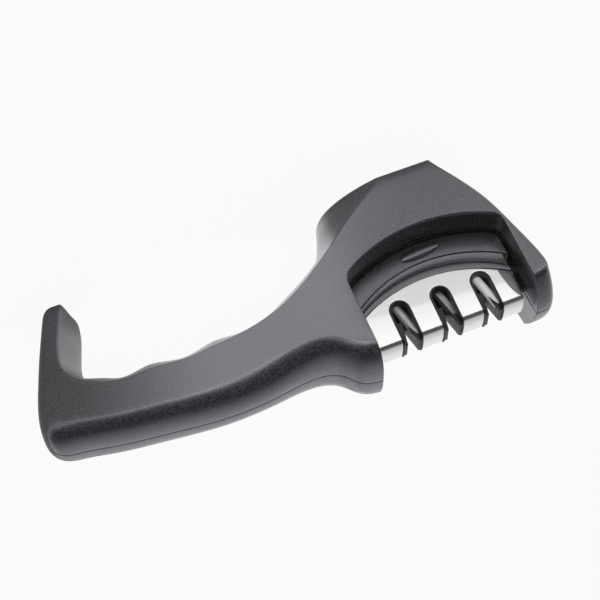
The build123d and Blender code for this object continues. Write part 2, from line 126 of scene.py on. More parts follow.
def fill(loops, spacing):
    """Vertices and triangles between closed loops, with a grid of inner points."""
    points, edges = [], []
    for q in loops:
        edges += [(len(points) + i, len(points) + (i + 1) % len(q)) for i in range(len(q))]
        points += [tuple(p) for p in q]
    rim = np.array(points)
    low, high = rim.min(axis=0), rim.max(axis=0)
    gx, gz = np.meshgrid(np.arange(low[0] + spacing / 2, high[0], spacing),
                         np.arange(low[1] + spacing / 2, high[1], spacing))
    grid = np.stack([gx.ravel(), gz.ravel()], axis=1)
    grid = grid[inside(loops, grid)]
    near = [np.min(np.hypot(*(rim - g).T)) > spacing * 0.4 for g in grid]
    points += [tuple(g) for g, k in zip(grid, near) if k]
    out = delaunay_2d_cdt([Vector(p) for p in points], edges, [], 0, 1e-7)
    verts = np.array([tuple(v) for v in out[0]])
    centres = np.array([verts[list(f)].mean(axis=0) for f in out[2]])
    return verts, [tuple(f) for f, k in zip(out[2], inside(loops, centres)) if k]


def quads(rows, columns, closed=True):
    """Faces of a grid of points stored row by row."""
    last = columns if closed else columns - 1
    return [(r * columns + c, (r + 1) * columns + c, (r + 1) * columns + (c + 1) % columns,
             r * columns + (c + 1) % columns) for r in range(rows - 1) for c in range(last)]


def rear(parts):
    """The same parts behind the middle plane."""
    return [(np.asarray(v) * [1, -1, 1], [f[::-1] for f in q]) for v, q in parts]


def stacked(parts):
    """Vertices and faces of several parts as one list each."""
    faces, base = [], 0
    for v, f in parts:
        faces += [[i + base for i in q] for q in f]
        base += len(v)
    return np.concatenate([np.asarray(v, float) for v, f in parts]), faces


def added(name, data):
    """New object in the scene."""
    obj = bpy.data.objects.new(name, data)
    bpy.context.scene.collection.objects.link(obj)
    return obj


def mesh_object(name, verts, faces):
    """Smooth object from vertices in millimetres."""
    mesh = bpy.data.meshes.new(name)
    mesh.from_pydata((verts * 0.001).tolist(), [], faces)
    mesh.shade_smooth()
    return added(name, mesh)


def piece(name, parts, body):
    """One object from parts, points closer than the weld joined, riding on a body."""
    weld = 0.002
    verts, faces = stacked(parts)
    key, index = np.unique(np.round(verts / weld).astype(np.int64), axis=0, return_inverse=True)
    index = index.ravel()
    joined = np.zeros((len(key), 3))
    joined[index] = verts
    clean = []
    for q in faces:
        q = [int(index[i]) for i in q]
        q = [a for a, b in zip(q, q[1:] + q[:1]) if a != b]
        if len(q) > 2 and len(set(q)) == len(q):
            clean.append(q)
    obj = mesh_object(name, joined, clean)
    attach(obj, body)
    return obj


def skin(mid, side, share, height, rim, seam=0.0, base=0.0, wells=(), spacing=3.0):
    """Front half of a moulding: rows from the middle plane to a flat side, both closed.

    mid and side are clockwise loops in X and Z, share(d) is how far each column has moved from
    one to the other at the depth share d, height(points) is the half thickness, rim rounds the
    edge of the side and seam the edge at the middle plane, base is where the rows start, and
    wells are round holes in the side as (x, z, radius, depth of the floor). Each well's edge has
    a chamfer, and a flat margin around it keeps the side's shading even.
    """
    n_mid, n_side, full = inwards(mid), inwards(side), height(side)
    rim = rim * np.ones(len(mid))
    rows = [((base + seam * (1 - math.cos(a))) / full, seam * (1 - math.sin(a)))
            for a in np.linspace(0, math.pi / 2, 5)[:-1] if seam]
    low = (base + seam) / full
    rows += [(low + (1 - rim / full - low) * t, 0.0) for t in np.linspace(0, 1, 15)[:-1]]
    sheets = []
    for d, inset in rows:
        p = mid + (side - mid) * share(d)[:, None] + n_mid * inset
        sheets.append(np.column_stack([p[:, 0], -d * full, p[:, 1]]))
    for a in np.linspace(0, math.pi / 2, 7):
        left = rim * (1 - math.sin(a))
        d = 1 - left / full
        p = mid + (side - mid) * share(d)[:, None] + n_side * (rim * (1 - math.cos(a)))[:, None]
        y = (1 - math.sin(a)) * d * full + math.sin(a) * (height(p) - left)
        sheets.append(np.column_stack([p[:, 0], -y, p[:, 1]]))
    columns, chamfer, margin = 48, 0.25, 0.45
    turn = np.linspace(0, 2 * math.pi, columns, endpoint=False)
    circle = np.column_stack([np.cos(turn), -np.sin(turn)])
    around = [(x, z) + circle * (r + margin) for x, z, r, floor in wells]
    verts, faces = fill([sheets[-1][:, [0, 2]]] + around, spacing)
    parts = [(np.concatenate(sheets), quads(len(sheets), len(mid))),
             (np.column_stack([verts[:, 0], -height(verts), verts[:, 1]]), faces)]
    hidden_spacing = 8.0
    verts, faces = fill([sheets[0][:, [0, 2]]], hidden_spacing)
    parts.append((np.column_stack([verts[:, 0], np.full(len(verts), -base), verts[:, 1]]),
                  [f[::-1] for f in faces]))
    for (x, z, r, floor), loop in zip(wells, around):
        wide, lip = (x, z) + circle * (r + chamfer), (x, z) + circle * r
        rows = [np.column_stack([loop[:, 0], -height(loop), loop[:, 1]])]
        rows += [np.column_stack([q[:, 0], drop - height(wide), q[:, 1]])
                 for q, drop in ((wide, 0.0), (lip, 0.2), (lip, 0.6))]
        rows.append(np.column_stack([lip[:, 0], np.full(columns, -floor), lip[:, 1]]))
        rows.append(np.tile([x, -floor, z], (columns, 1)))
        parts.append((np.concatenate(rows), [f[::-1] for f in quads(len(rows), columns)]))
    return parts


def box_part(low, high):
    """Closed box between two corners."""
    (a, b, c), (d, e, f) = low, high
    v = [(a, b, c), (d, b, c), (d, e, c), (a, e, c), (a, b, f), (d, b, f), (d, e, f), (a, e, f)]
    return v, [(3, 2, 1, 0), (4, 5, 6, 7), (0, 1, 5, 4), (1, 2, 6, 5), (2, 3, 7, 6), (3, 0, 4, 7)]


def housing_half_thickness(p):
    """Half thickness at points (x, z): the head narrows upwards and, over the neck, to the grip."""
    base_half, lost, at_height, grip_half = 24.8, 5.8, 65.0, 13.0
    neck_start, neck_length = 22.0, 70.0
    head = base_half - lost * p[:, 1] / at_height
    t = np.clip((p[:, 0] - neck_start) / neck_length, 0, 1)
    return head + (grip_half - head) * t * t * (3 - 2 * t)


def arch(x, low_x, low_z, radius):
    """Height of an arch that bows downwards."""
    return low_z + radius - np.sqrt(radius ** 2 - (np.asarray(x) - low_x) ** 2)


bay_half, bay_arch = 34.75, (-2.0, 26.3, 69.0)
bay_x = np.linspace(-bay_half, bay_half, 60)
bay_z = arch(bay_x, *bay_arch)
bay_floor = np.column_stack([bay_x, bay_z, bay_x, bay_z])

# Runs of the outline, each point as X and Z of the middle loop, then X and Z of the side loop.
top_and_end = [
    (bay_half, 75.7, bay_half, 62.6), (39.0, 75.2, 38.0, 61.6), (44.0, 72.8, 43.5, 57.8),
    (47.8, 68.6, 48.5, 54.4), (53.0, 65.5, 55.0, 52.3), (60.0, 64.6, 62.0, 51.8),
    (75.0, 66.2, 77.0, 53.0), (97.0, 67.2, 98.0, 55.2), (122.0, 64.5, 122.0, 53.6),
    (143.0, 61.4, 141.0, 50.6), (154.3, 59.2, 150.0, 48.1), (161.8, 57.4, 154.2, 46.5),
    (165.7, 53.1, 157.2, 43.8), (166.7, 47.0, 158.4, 39.9), (165.6, 40.0, 158.4, 35.1),
    (162.4, 30.0, 157.0, 27.0), (158.4, 19.0, 154.6, 18.0), (154.7, 10.0, 151.9, 9.0),
    (150.7, 0.0, 148.3, 0.0)]
underside = [
    (140.0, 0.0, 142.9, 0.0), (138.4, 3.0, 145.0, 5.0), (138.8, 9.0, 147.0, 10.5),
    (140.7, 16.0, 149.4, 17.5), (142.9, 22.5, 150.8, 24.0), (143.9, 27.2, 150.7, 29.0),
    (142.7, 31.2, 148.3, 33.4), (135.5, 34.0, 143.6, 37.4), (128.5, 36.5, 132.0, 41.7),
    (117.8, 34.5, 119.0, 41.9), (105.0, 37.4, 106.0, 42.8), (90.8, 34.3, 92.0, 41.9),
    (78.0, 36.2, 79.0, 40.6), (64.0, 31.6, 62.0, 37.0), (50.0, 24.5, 46.0, 29.4),
    (40.0, 17.4, 30.3, 19.2), (37.2, 12.8, 23.5, 14.6), (34.8, 7.5, 16.0, 9.8),
    (33.0, 3.0, 8.0, 4.6), (32.2, 0.4, 3.0, 0.4)]
outer = [
    (-19.6, 0.4, -18.1, 0.4), (-27.3, 12.0, -25.7, 12.2), (-34.2, 25.0, -32.5, 25.1),
    (-39.0, 40.0, -37.4, 40.0), (-42.6, 54.0, -41.4, 54.0), (-43.62, 62.5, -42.5, 60.0),
    (-43.58, 71.8, -42.4, 65.0)]
pillar_tip = (-bay_half, 71.8, -bay_half, 65.0)

# Run, samples, rounding of the middle and of the side loop at its end, then three traits of the
# surface along it: rim of the side, share of a soft shoulder and share of the nose's hollow.
housing_runs = [
    (spline(outer, 400), 90, 5.5, 6.2, 1.5, 0, 0),
    (np.array([outer[-1], pillar_tip]), 14, 0.7, 0.7, 1.2, 0, 0),
    (np.array([pillar_tip, bay_floor[0]]), 40, 3.9, 3.9, 0.8, 0, 0),
    (bay_floor, 90, 3.6, 3.6, 0.8, 0, 0),
    (np.array([bay_floor[-1], top_and_end[0]]), 40, 0.7, 0.7, 0.8, 1, 0),
    (spline(top_and_end, 900), 260, 3.6, 2.6, 0.3, 1, 0),
    (np.array([top_and_end[-1], underside[0]]), 14, 1.0, 0.8, 0.3, 0.5, 0),
    (spline(underside, 900), 260, 0.7, 0.4, 0.45, 0, 0),
    (np.array([underside[-1], outer[0]]), 30, 0.7, 0.5, 0.4, 0, 1)]
mid_loop = ring([r[0][:, :2] for r in housing_runs], [r[1] for r in housing_runs],
                [r[2] for r in housing_runs])
side_loop = ring([r[0][:, 2:] for r in housing_runs], [r[1] for r in housing_runs],
                 [r[3] for r in housing_runs])
traits = np.concatenate([np.tile(r[4:], (r[1] + corner_points, 1)) for r in housing_runs]).astype(float)
mid_x, mid_z = mid_loop.T
nose_zone = np.clip((44.0 - mid_x) / 10, 0, 1) * (mid_z < 22) * (mid_x > 0)
traits[:, 2] = np.maximum(traits[:, 2], nose_zone)
hook_zone = np.clip((mid_x - 130) / 8, 0, 1) * (mid_z < 32)
traits = np.column_stack([traits, hook_zone])
smoothing = 30
for _ in range(smoothing):
    traits = (np.roll(traits, 1, axis=0) + 2 * traits + np.roll(traits, -1, axis=0)) / 4
side_rim, soft_part, nose_part, hook_part = traits.T


def housing_share(d):
    """Share of the way from the middle to the side loop at depth d, for each column.

    The flank bows out evenly, except for the soft shoulder along the top, the hollow nose and
    the hook, whose faces are nearly plane.
    """
    power, knee = 2.8, 0.03
    soft = 1 - np.maximum(0, 1 - d ** power) ** (1 / power)
    nose = 0.5 - 0.5 * np.sqrt(np.maximum(0, 1 - d * d)) + 0.5 * d ** 3
    plane = (np.sqrt(d * d + knee) - math.sqrt(knee)) / (math.sqrt(1 + knee) - math.sqrt(knee))
    bow = d * d + (plane - d * d) * hook_part
    share = (1 - soft_part) * bow + soft_part * soft
    return share + (nose - share) * nose_part


well_radius, shell_seat, seam_edge = 2.95, 9.0, 0.42
shell_screw_places = [(-15.0, 13.0), (19.0, 19.0), (45.5, 44.0), (98.0, 48.0), (147.5, 41.0)]
shell_wells = [(x, z, well_radius, shell_seat) for x, z in shell_screw_places]


def even(value):
    """Height that is the same everywhere."""
    return lambda p: np.full(len(p), value)


def plate(outline, height, rim, base=0.0, spacing=3.0, wells=()):
    """Front half of a flat moulding with one outline."""
    still = lambda d: np.zeros(len(outline))
    return skin(outline, outline, still, height, rim, base=base, spacing=spacing, wells=wells)


def seat_rib(cx):
    """Low rib across the bay floor that the cartridge stands on."""
    half, sunk, proud, reach = 4.0, 0.6, 0.78, 6.0
    x = np.linspace(cx + half, cx - half, 12)
    z = arch(x, *bay_arch)
    loop = np.concatenate([np.column_stack([x, z - sunk])[::-1], np.column_stack([x, z + proud])])[::-1]
    return plate(loop, even(reach), 0.25)


# Two upright guide ribs in the bay's walls and two seat ribs on its floor.
rib_in, rib_out, rib_front, rib_back, rib_low, rib_high = 32.85, 35.5, -1.2, -0.02, 36, 60
bay_ribs = [box_part((rib_in, rib_front, rib_low), (rib_out, rib_back, rib_high)),
            box_part((-rib_out, rib_front, rib_low), (-rib_in, rib_back, rib_high))]
bay_ribs += seat_rib(-20.0) + seat_rib(20.0)
housing = dict(mid=mid_loop, side=side_loop, share=housing_share, height=housing_half_thickness,
               rim=side_rim, seam=seam_edge)
front_housing = piece("front_housing", skin(**housing) + bay_ribs, "handle")
rear_housing = piece("rear_housing", rear(skin(**housing, wells=shell_wells) + bay_ribs), "handle")
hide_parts("front_shell")
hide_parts("rear_shell")


class Net:
    """Sockets of one node tree, with arithmetic written as plain expressions."""

    def __init__(self, tree, socket=None):
        self.tree, self.socket = tree, socket

    def node(self, kind, settings=None, **inputs):
        """Adds a node with its settings and inputs."""
        n = self.tree.nodes.new(kind)
        for k, v in (settings or {}).items():
            setattr(n, k, v)
        return self.set(n, **inputs)

    def set(self, node, **inputs):
        """Sets inputs by name, with underscores for spaces, or by number as i0, i1."""
        for k, v in inputs.items():
            key = int(k[1:]) if k[0] == "i" and k[1:].isdigit() else k.replace("_", " ")
            self.join(v, node.inputs[key])
        return node

    def join(self, value, socket):
        """Links another socket to this one, or sets its plain value."""
        if isinstance(value, Net):
            self.tree.links.new(value.socket, socket)
        else:
            socket.default_value = value

    def out(self, node, name=0):
        """One output of a node, by name or number."""
        return Net(self.tree, node.outputs[name])

    def math(self, op, a, b):
        """Result of one Math node."""
        return self.out(self.node("ShaderNodeMath", {"operation": op}, i0=a, i1=b))

    def __add__(self, o): return self.math("ADD", self, o)
    def __radd__(self, o): return self.math("ADD", o, self)
    def __sub__(self, o): return self.math("SUBTRACT", self, o)
    def __rsub__(self, o): return self.math("SUBTRACT", o, self)
    def __mul__(self, o): return self.math("MULTIPLY", self, o)
    def __rmul__(self, o): return self.math("MULTIPLY", o, self)

    def between(self, low, high):
        """0 below low, 1 above high, smooth between."""
        r = self.node("ShaderNodeMapRange", {"interpolation_type": "SMOOTHSTEP"}, Value=self,
                      From_Min=low, From_Max=high)
        return self.out(r)

    def noise(self, scale, detail=2.0, rough=0.5, vector=None):
        """Noise from 0 to 1 with scale cells to the metre."""
        n = self.node("ShaderNodeTexNoise", None, Scale=scale, Detail=detail, Roughness=rough,
                      Vector=vector or self.place())
        return self.out(n, "Fac")

    def stretched(self, scales):
        """Object coordinates scaled along each axis, for grain that runs one way."""
        return self.out(self.node("ShaderNodeMapping", None, Vector=self.place(), Scale=scales))

    def place(self):
        """Object coordinates, in metres of the frame."""
        return self.out(self.node("ShaderNodeTexCoord"), "Object")

    def relief(self, height, depth):
        """Normal of a bump with a depth in metres."""
        return self.out(self.node("ShaderNodeBump", None, Height=height, Distance=depth))

    def mixed(self, share, a, b):
        """Colour between a and b."""
        a, b = (c if isinstance(c, Net) else (*c, 1.0) for c in (a, b))
        m = self.node("ShaderNodeMix", {"data_type": "RGBA"}, Factor=share, i6=a, i7=b)
        return self.out(m, 2)


def material(name, **plain):
    """New material; returns it, its net and its shader with plain values set."""
    m = bpy.data.materials.new(name)
    m.use_nodes = True
    net = Net(m.node_tree)
    return m, net, net.set(m.node_tree.nodes["Principled BSDF"], **plain)


def dark_plastic(name, base, rough, grain, depth, ior=1.75):
    """Satin moulded plastic: grain cells to the metre, depth of their relief in metres."""
    m, net, shader = material(name, Specular_IOR_Level=1.0, IOR=ior, Specular_Tint=(0.95, 0.94, 1.0, 1.0),
                              Sheen_Weight=0.05, Sheen_Roughness=0.35)
    fine, broad = net.noise(grain, 3.0, 0.6), net.noise(90.0, 2.0)
    speck = net.noise(grain * 2.1, 1.0, 0.5)
    dark, light = (tuple(c * k for c in base) for k in (0.3, 1.9))
    net.set(shader, Base_Color=net.mixed(fine.between(0.35, 0.7), dark, light),
            Roughness=rough + (broad - 0.5) * 0.10 + (fine - 0.5) * 0.12,
            Normal=net.relief(fine + speck * 0.8, depth))
    return m


housing_plastic = dark_plastic("housing_plastic", (0.022, 0.0217, 0.0245), rough=0.28, grain=1150.0,
                               depth=0.000012)
for obj in (front_housing, rear_housing):
    obj.data.materials.append(housing_plastic)

# ---------------------------------------------------------------------------------------------
# Screws: steel pan heads with a cross recess, driven from the rear through counterbores, five
# into bosses of the front housing half and two into the cartridge's front half.


def pan_head_screw(head_radius, head_height, shank_radius, length):
    """Parts of one screw, its head on the +Y side of y = 0."""
    point, edge, flat_share, columns = 1.2, 0.12, 0.45, 48
    profile = [(0.0, -length), (shank_radius * 0.6, -length), (shank_radius, -length + point),
               (shank_radius, 0.0), (head_radius - edge, 0.0), (head_radius, edge),
               (head_radius, head_height * flat_share)]
    a = np.linspace(0, math.pi / 2, 8)[1:]
    profile += [(head_radius - 0.9 * (1 - math.cos(q)) - 1.1 * math.sin(q) ** 3,
                 head_height * (flat_share + (1 - flat_share) * math.sin(q))) for q in a]
    turn = np.linspace(0, 2 * math.pi, columns, endpoint=False)
    rows = [np.column_stack([r * np.cos(turn), np.full(columns, y), r * np.sin(turn)]) for r, y in profile]
    top = rows[-1]
    arm, half, recess, recess_tip = 1.55, 0.34, 1.1, 1.3
    cross = []
    for k in range(4):
        c, s = math.cos(k * math.pi / 2), math.sin(k * math.pi / 2)
        for u, v in ((half, -half), (arm, -half * 0.8), (arm, half * 0.8)):
            cross.append((u * c - v * s, u * s + v * c))
    cross = np.array(cross)[::-1]
    verts, faces = fill([top[::-1][:, [0, 2]], cross], 0.5)
    lid = np.column_stack([verts[:, 0], np.full(len(verts), top[0, 1]), verts[:, 1]])
    rim = np.column_stack([cross[:, 0], np.full(len(cross), top[0, 1]), cross[:, 1]])
    floor = rim * [0.55, 1, 0.55] - [0, recess, 0]
    centre = np.tile([0, top[0, 1] - recess_tip, 0], (len(cross), 1))
    return [(np.concatenate(rows), quads(len(rows), columns)), (lid, [f[::-1] for f in faces]),
            (np.concatenate([rim, floor, centre]), quads(3, len(cross)))]


def new_tree(name, inputs, output):
    """Empty Geometry Nodes tree with named inputs; returns it and its two group nodes."""
    tree = bpy.data.node_groups.new(name, "GeometryNodeTree")
    for label, kind in inputs:
        tree.interface.new_socket(label, in_out="INPUT", socket_type="NodeSocket" + kind)
    tree.interface.new_socket(output, in_out="OUTPUT", socket_type="NodeSocketGeometry")
    return tree, tree.nodes.new("NodeGroupInput"), tree.nodes.new("NodeGroupOutput")


def screws_tree(name):
    """Geometry Nodes tree that sets one screw at each point, each with its own turn."""
    tree, given, result = new_tree(name, (("Places", "Geometry"), ("Screw", "Object"), ("Turn", "Float"),
                                          ("Seed", "Int"), ("Steel", "Material")), "Screws")
    one, spots = tree.nodes.new("GeometryNodeObjectInfo"), tree.nodes.new("GeometryNodeInstanceOnPoints")
    chance, turn = tree.nodes.new("FunctionNodeRandomValue"), tree.nodes.new("ShaderNodeCombineXYZ")
    real, finish = tree.nodes.new("GeometryNodeRealizeInstances"), tree.nodes.new("GeometryNodeSetMaterial")
    for a, b in ((given.outputs["Places"], spots.inputs["Points"]),
                 (given.outputs["Screw"], one.inputs["Object"]),
                 (one.outputs["Geometry"], spots.inputs["Instance"]),
                 (given.outputs["Turn"], chance.inputs[3]), (given.outputs["Seed"], chance.inputs["Seed"]),
                 (chance.outputs[1], turn.inputs["Y"]), (turn.outputs[0], spots.inputs["Rotation"]),
                 (spots.outputs[0], real.inputs[0]), (real.outputs[0], finish.inputs["Geometry"]),
                 (given.outputs["Steel"], finish.inputs["Material"]), (finish.outputs[0], result.inputs[0])):
        tree.links.new(a, b)
    return tree


def grown(name, places, tree, body, **inputs):
    """Object grown by a tree on a set of points, as a plain mesh that rides on a body."""
    host = mesh_object(name + "_places", np.array(places), [])
    nodes = host.modifiers.new("grown", "NODES")
    nodes.node_group = tree
    for item in tree.interface.items_tree:
        if item.in_out == "INPUT" and item.name.lower() in inputs:
            nodes[item.identifier] = inputs[item.name.lower()]
    bpy.context.view_layer.update()
    mesh = bpy.data.meshes.new_from_object(host.evaluated_get(bpy.context.evaluated_depsgraph_get()))
    bpy.data.objects.remove(host)
    mesh.name = name
    obj = added(name, mesh)
    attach(obj, body)
    return obj


screw_steel, net, shader = material("zinc_plated_steel", Metallic=1.0)
cloud = net.noise(700.0, 3.0, 0.6)
net.set(shader, Base_Color=net.mixed(cloud, (0.30, 0.30, 0.31), (0.52, 0.52, 0.53)),
        Roughness=0.26 + cloud * 0.18)
screws = screws_tree("screws_in_counterbores")
pattern = mesh_object("screw_pattern", *stacked(pan_head_screw(
    head_radius=2.7, head_height=1.9, shank_radius=1.4, length=8.0)))
core_seat, core_screw_places = 5.6, [(-26.0, 37.0), (26.0, 37.4)]
quarter_turn = 1.57
shell_screws = grown("housing_screws", [(x, shell_seat, z) for x, z in shell_screw_places], screws,
                     "handle", screw=pattern, turn=quarter_turn, seed=4, steel=screw_steel)
core_screws = grown("core_screws", [(x, core_seat, z) for x, z in core_screw_places], screws,
                    "cartridge", screw=pattern, turn=quarter_turn, seed=9, steel=screw_steel)
bpy.data.objects.remove(pattern)
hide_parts("shell_screws")
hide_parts("cartridge_screws")

# ---------------------------------------------------------------------------------------------
# Resting pad: black rubber, let into the base across both halves, with rows of low round studs
# on its underside.

pad_half, pad_low_x, pad_bend_x, pad_high_x = 19.5, -14.5, 5.0, 27.0
pad_turn = np.linspace(0, math.pi / 2, 30)
pad_arc = np.array([(pad_high_x - (pad_high_x - pad_bend_x) * (1 - math.cos(a)) ** 0.9,
                     pad_half * math.sin(a) ** 0.75 if a > 0 else 0.0) for a in pad_turn])
pad_loop = ring([np.array([(pad_low_x, pad_half), (pad_bend_x, pad_half)]), pad_arc[::-1], pad_arc * [1, -1],
                 np.array([(pad_bend_x, -pad_half), (pad_low_x, -pad_half)]),
                 np.array([(pad_low_x, -pad_half), (pad_low_x, pad_half)])],
                [12, 40, 40, 12, 24], [0.3, 0.3, 0.3, 3.5, 3.5])
pad_top, pad_under, pad_edge = 1.6, 0.2, 0.25


def pad_parts():
    """Pad with a rounded lower edge, its underside just above the plane where the studs end."""
    n = inwards(pad_loop)
    rows = [np.column_stack([pad_loop, np.full(len(pad_loop), pad_top)])]
    for a in np.linspace(0, math.pi / 2, 6):
        p = pad_loop + n * pad_edge * (1 - math.cos(a))
        rows.append(np.column_stack([p, np.full(len(p), pad_under + pad_edge - pad_edge * math.sin(a))]))
    verts, faces = fill([rows[-1][:, :2]], 4.0)
    lid = np.column_stack([verts, np.full(len(verts), pad_under)])
    top, back = fill([pad_loop], 6.0)
    return [(np.concatenate(rows), quads(len(rows), len(pad_loop))), (lid, [f[::-1] for f in faces]),
            (np.column_stack([top, np.full(len(top), pad_top)]), back)]


def stud_tree(name):
    """Geometry Nodes tree that sets a low round stud at each point."""
    tree, given, result = new_tree(name, (("Places", "Geometry"), ("Radius", "Float"), ("Height", "Float"),
                                          ("Rubber", "Material")), "Studs")
    stud, narrow = tree.nodes.new("GeometryNodeMeshCone"), tree.nodes.new("ShaderNodeMath")
    stud.inputs["Vertices"].default_value = 14
    narrow.operation = "MULTIPLY"
    narrow.inputs[1].default_value = 0.72
    spots = tree.nodes.new("GeometryNodeInstanceOnPoints")
    spots.inputs["Rotation"].default_value = (math.pi, 0, 0)
    real, finish = tree.nodes.new("GeometryNodeRealizeInstances"), tree.nodes.new("GeometryNodeSetMaterial")
    for a, b in ((given.outputs["Places"], spots.inputs["Points"]),
                 (given.outputs["Radius"], stud.inputs["Radius Bottom"]),
                 (given.outputs["Radius"], narrow.inputs[0]), (narrow.outputs[0], stud.inputs["Radius Top"]),
                 (given.outputs["Height"], stud.inputs["Depth"]),
                 (stud.outputs["Mesh"], spots.inputs["Instance"]), (spots.outputs[0], real.inputs[0]),
                 (real.outputs[0], finish.inputs["Geometry"]),
                 (given.outputs["Rubber"], finish.inputs["Material"]), (finish.outputs[0], result.inputs[0])):
        tree.links.new(a, b)
    return tree


rubber, net, shader = material("black_rubber", Specular_IOR_Level=0.3)
dust = net.noise(1500.0, 3.0, 0.6)
net.set(shader, Base_Color=net.mixed(dust, (0.012, 0.012, 0.012), (0.028, 0.027, 0.026)),
        Roughness=0.72 + dust * 0.2, Normal=net.relief(dust, 0.00004))
pad = piece("resting_pad", pad_parts(), "handle")
pad.data.materials.append(rubber)
stud_pitch, row_pitch, stud_root, border = 3.0, 2.6, 0.3, 1.7
stud_radius, stud_height = 0.0009, 0.0003  # in metres, as the tree takes them
grid = np.array([(x, y + stud_pitch / 2 * (i % 2), stud_root)
                 for i, x in enumerate(np.arange(-12.5, 25.5, row_pitch))
                 for y in np.arange(-18.0, 18.1, stud_pitch)])
clear = [np.min(np.hypot(*(pad_loop - g[:2]).T)) > border for g in grid]
grid = grid[inside([pad_loop], grid[:, :2]) & np.array(clear)]
studs = grown("pad_studs", grid, stud_tree("studs_on_the_pad"), "handle", radius=stud_radius,
              height=stud_height, rubber=rubber)
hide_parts("base_pad")

# ---------------------------------------------------------------------------------------------
# Cartridge body: two halves moulded in dark plastic and screwed together from the rear, which
# carry the abrasives. The arched panel with its oval nub stands out in front of a shallow
# hollow band and a strip along the steel.


def band_between(low, high, left, right, cuts):
    """Clockwise outline between two arches, given as (low x, low z, radius), and two ends."""
    x = np.linspace(right, left, 90)
    top = np.column_stack([x, arch(x, *high)])
    bottom = np.column_stack([x[::-1], arch(x[::-1], *low)])
    sides = [np.array([top[-1], bottom[0]]), np.array([bottom[-1], top[0]])]
    return ring([top, sides[0], bottom, sides[1]], [90, 8, 90, 8], cuts)


# Arches from the panel's lower edge up to the edge of the steel.
panel_low, line_1 = (-2.0, 27.4, 67.9), (-1.0, 36.5, 58.0)
line_2, steel_edge = (1.7, 39.8, 57.0), (2.6, 43.7, 62.0)
panel_outline = band_between(panel_low, line_1, 33.65, -33.65, [0.5, 3.2, 3.4, 0.5])
panel_core = band_between(panel_low, line_1, 32.5, -32.5, [0.3, 3.0, 3.0, 0.3])
strip_high_x, strip_low_x = 33.3, -31.2
strip_outline = band_between((-1.0, 35.5, 58.0), (2.6, 45.0, 62.0), strip_high_x, strip_low_x,
                             [0.3, 0.3, 0.3, 0.5])


section_length = 32.0


def flank(x, s):
    """Point (y, z) of the steel cover's outside at x, s along the section from its ridge.

    The section is crowned at the ridge, bends at the corner and again, less, at the knee, which
    comes down along X; c is the crown's half width, w that of each bend.
    """
    x, s = np.broadcast_arrays(np.asarray(x, float), np.asarray(s, float))
    side, s = np.where(s < 0, 1.0, -1.0), np.abs(s)
    knee_z = 54.6 - 0.085 * x
    ridge, corner, slope, low_slope = np.array([0.0, 66.95]), np.array([6.0, 66.05]), 0.158, 0.115
    knee = np.stack([corner[0] + (corner[1] - knee_z) * slope, knee_z], axis=-1)
    s_corner = np.hypot(*(corner - ridge))
    over = (corner - ridge) / s_corner
    down_length = np.hypot(*(knee - corner).T).T
    s_knee, down = s_corner + down_length, (knee - corner) / down_length[..., None]
    below = np.array([low_slope, -1.0]) / math.hypot(low_slope, 1.0)
    c = 4.0
    fall = np.where(s < c, (s * s + c * c) / (2 * c), s)
    crown = np.stack([s * over[0], ridge[1] + over[1] * fall], axis=-1)
    p = np.where((s < s_corner)[..., None], crown,
                 np.where((s < s_knee)[..., None], corner + down * (s - s_corner)[..., None],
                          knee + below * (s - s_knee)[..., None]))
    for at, centre, before, after, w in ((s_corner, corner, over, down, 1.7),
                                         (s_knee, knee, down, below, 0.8)):
        t = s - at
        soft = centre + (after * ((t + w) ** 2)[..., None] - before * ((w - t) ** 2)[..., None]) / (4 * w)
        p = np.where((np.abs(t) < w)[..., None], soft, p)
    return np.stack([side * p[..., 0], p[..., 1]], axis=-1)


def on_cover(x, s, lift):
    """Places (x, s) of the developed steel sheet, lifted off its outside by lift."""
    step = 0.01
    p, q = flank(x, np.asarray(s) + step), flank(x, np.asarray(s) - step)
    d = p - q
    n = np.stack([-d[..., 1], d[..., 0]], axis=-1)
    n = n / np.linalg.norm(n, axis=-1)[..., None]
    m = (p + q) / 2 - n * lift[..., None]
    return np.column_stack([np.broadcast_to(x, m[..., 0].shape), m])


def along_cover(x, z):
    """Distance along the section from the ridge down to height z at x."""
    s = np.linspace(4.0, section_length, 600)
    return np.array([np.interp(-b, -flank(a, s)[:, 1], s)
                     for a, b in zip(np.atleast_1d(x), np.atleast_1d(z))])


def section_block(low_x, high_x, inset, low_z):
    """Closed block along X that follows the cover's section from below."""
    s = np.linspace(-section_length, section_length, 161)
    rows = []
    for x in (low_x, high_x):
        p = on_cover(np.full(len(s), x), s, np.full(len(s), -inset))
        p[:, 2] = np.maximum(p[:, 2], low_z)
        rows.append(p)
    n = len(s)
    return np.concatenate(rows), quads(2, n) + [tuple(range(n)), tuple(range(2 * n - 1, n - 1, -1))]


def sheet_parts(loops, thickness, rim, spacing):
    """Sheet on the cover's section: the first loop is its outline, the others are holes."""
    parts, lids = [], []
    for i, loop in enumerate(loops):
        n = inwards(loop) * (1 if i == 0 else -1)
        rows = []
        for drop, inset in [(thickness, 0.0)] + [(rim * (1 - math.sin(a)), rim * (1 - math.cos(a)))
                                                 for a in np.linspace(0, math.pi / 2, 5)]:
            p = loop + n * inset
            rows.append(on_cover(p[:, 0], p[:, 1], np.full(len(p), -drop)))
        lids.append(p)
        faces = quads(len(rows), len(loop))
        parts.append((np.concatenate(rows), faces if i == 0 else [f[::-1] for f in faces]))
    verts, faces = fill(lids, spacing)
    parts.append((on_cover(verts[:, 0], verts[:, 1], np.zeros(len(verts))), faces))
    return parts


